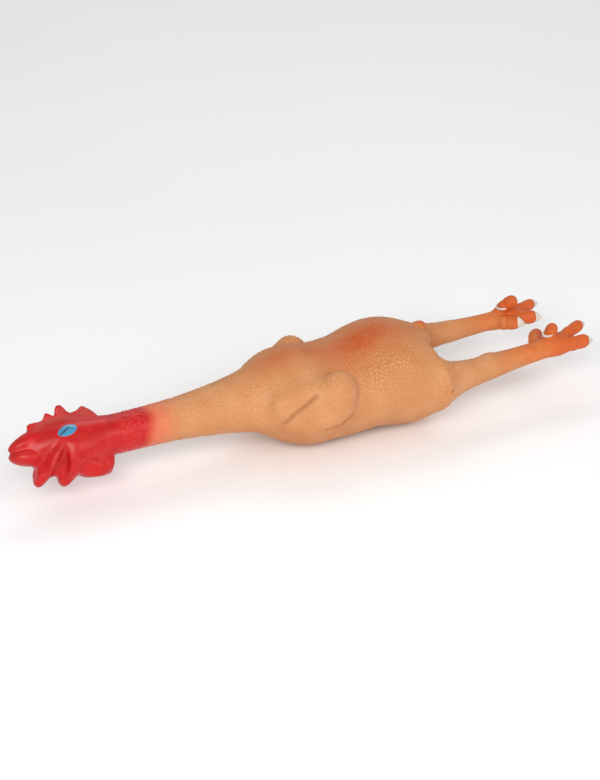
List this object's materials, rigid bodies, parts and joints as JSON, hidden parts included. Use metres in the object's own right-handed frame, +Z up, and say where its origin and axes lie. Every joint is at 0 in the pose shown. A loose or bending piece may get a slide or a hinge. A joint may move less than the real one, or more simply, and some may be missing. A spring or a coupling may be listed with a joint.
{
  "type": "rubber chicken",
  "caption": "Squeaky rubber chicken: plucked tan latex body that squeaks when its back is pressed, bending neck with red crested head, trailing legs with clawed feet.",
  "frame": {"origin": "on the floor, under the middle of the bounding box of the bird lying on its belly", "axes": "+X from the beak to the feet, +Z up through the back, -Y towards the bird's left side"},
  "size_m": [0.4577, 0.101, 0.0755],
  "materials": {
    "tan_latex": "matte, pebbled",
    "red_latex": "glossy paint on smooth latex",
    "orange_latex": "satin, ringed",
    "white_paint": "satin",
    "blue_paint": "glossy",
    "squeaker_plastic": "satin",
    "reed_film": "smooth film"
  },
  "bodies": {
    "torso": {"torso_skin": "tan_latex", "wing_left": "tan_latex", "wing_right": "tan_latex", "tail_nub": "tan_latex", "neck_root_flex": "tan_latex", "hip_flex_left": "tan_latex", "hip_flex_right": "tan_latex", "squeaker_cup": "squeaker_plastic", "squeaker_valve": "squeaker_plastic", "reed_clip": "squeaker_plastic"},
    "back": {"back_wall": "tan_latex"},
    "neck_lower": {"neck_lower": "tan_latex", "neck_mid_flex": "tan_latex"},
    "neck_upper": {"neck_upper": "red_latex", "head_flex": "red_latex"},
    "head": {"head_skin": "red_latex", "comb": "red_latex", "wattle_front": "red_latex", "wattle_rear": "red_latex", "ear_lobe": "red_latex", "eye_left": "blue_paint", "eye_right": "blue_paint"},
    "reed": {"squeaker_reed": "reed_film"},
    "thigh_left": {"thigh_left": "tan_latex", "knee_flex_left": "tan_latex"},
    "shank_left": {"shank_left": "orange_latex", "ankle_flex_left": "orange_latex"},
    "foot_left": {"foot_left": "orange_latex", "toe_inner_left": "orange_latex", "toe_middle_left": "orange_latex", "toe_outer_left": "orange_latex", "toe_back_left": "orange_latex", "claw_inner_left": "white_paint", "claw_middle_left": "white_paint", "claw_outer_left": "white_paint"},
    "thigh_right": {"thigh_right": "tan_latex", "knee_flex_right": "tan_latex"},
    "shank_right": {"shank_right": "orange_latex", "ankle_flex_right": "orange_latex"},
    "foot_right": {"foot_right": "orange_latex", "toe_inner_right": "orange_latex", "toe_middle_right": "orange_latex", "toe_outer_right": "orange_latex", "toe_back_right": "orange_latex", "claw_inner_right": "white_paint", "claw_middle_right": "white_paint", "claw_outer_right": "white_paint"}
  },
  "joints": [
    {"name": "neck_root", "type": "hinge", "parent": "torso", "child": "neck_lower", "pos_m": [-0.056, 0, 0.0406], "axis": [0, 1, 0], "range_deg": [-25, 45], "stiffness_Nm_per_rad": 0.9, "deforming": ["neck_root_flex"]},
    {"name": "neck_middle", "type": "hinge", "parent": "neck_lower", "child": "neck_upper", "pos_m": [-0.097, 0, 0.0406], "axis": [0, 0, 1], "range_deg": [-40, 40], "stiffness_Nm_per_rad": 0.6, "deforming": ["neck_mid_flex"]},
    {"name": "head_nod", "type": "hinge", "parent": "neck_upper", "child": "head", "pos_m": [-0.1405, 0, 0.0406], "axis": [0, 1, 0], "range_deg": [-35, 35], "stiffness_Nm_per_rad": 0.5, "deforming": ["head_flex"]},
    {"name": "back_press", "type": "slide", "parent": "torso", "child": "back", "axis": [0, 0, -1], "range_m": [0, 0.012], "stiffness_N_per_m": 300},
    {"name": "reed_lift", "type": "hinge", "parent": "torso", "child": "reed", "pos_m": [0.053, 0, 0.0125], "axis": [0, -1, 0], "range_deg": [0, 6], "stiffness_Nm_per_rad": 0.002},
    {"name": "hip_left", "type": "hinge", "parent": "torso", "child": "thigh_left", "pos_m": [0.1075, -0.03472, 0.0382], "axis": [0, -1, 0], "range_deg": [-20, 40], "stiffness_Nm_per_rad": 0.35, "deforming": ["hip_flex_left"]},
    {"name": "knee_left", "type": "hinge", "parent": "thigh_left", "child": "shank_left", "pos_m": [0.1415, -0.03293, 0.03882], "axis": [0, 0, -1], "range_deg": [-3, 35], "stiffness_Nm_per_rad": 0.25, "deforming": ["knee_flex_left"]},
    {"name": "ankle_left", "type": "hinge", "parent": "shank_left", "child": "foot_left", "pos_m": [0.1695, -0.03201, 0.04015], "axis": [0, -1, 0], "range_deg": [-30, 40], "stiffness_Nm_per_rad": 0.18, "deforming": ["ankle_flex_left"]},
    {"name": "hip_right", "type": "hinge", "parent": "torso", "child": "thigh_right", "pos_m": [0.1075, 0.03472, 0.0382], "axis": [0, -1, 0], "range_deg": [-20, 40], "stiffness_Nm_per_rad": 0.35, "deforming": ["hip_flex_right"]},
    {"name": "knee_right", "type": "hinge", "parent": "thigh_right", "child": "shank_right", "pos_m": [0.1415, 0.03293, 0.03822], "axis": [0, 0, 1], "range_deg": [-3, 35], "stiffness_Nm_per_rad": 0.25, "deforming": ["knee_flex_right"]},
    {"name": "ankle_right", "type": "hinge", "parent": "shank_right", "child": "foot_right", "pos_m": [0.1695, 0.03201, 0.03826], "axis": [0, -1, 0], "range_deg": [-30, 40], "stiffness_Nm_per_rad": 0.18, "deforming": ["ankle_flex_right"]}
  ]
}
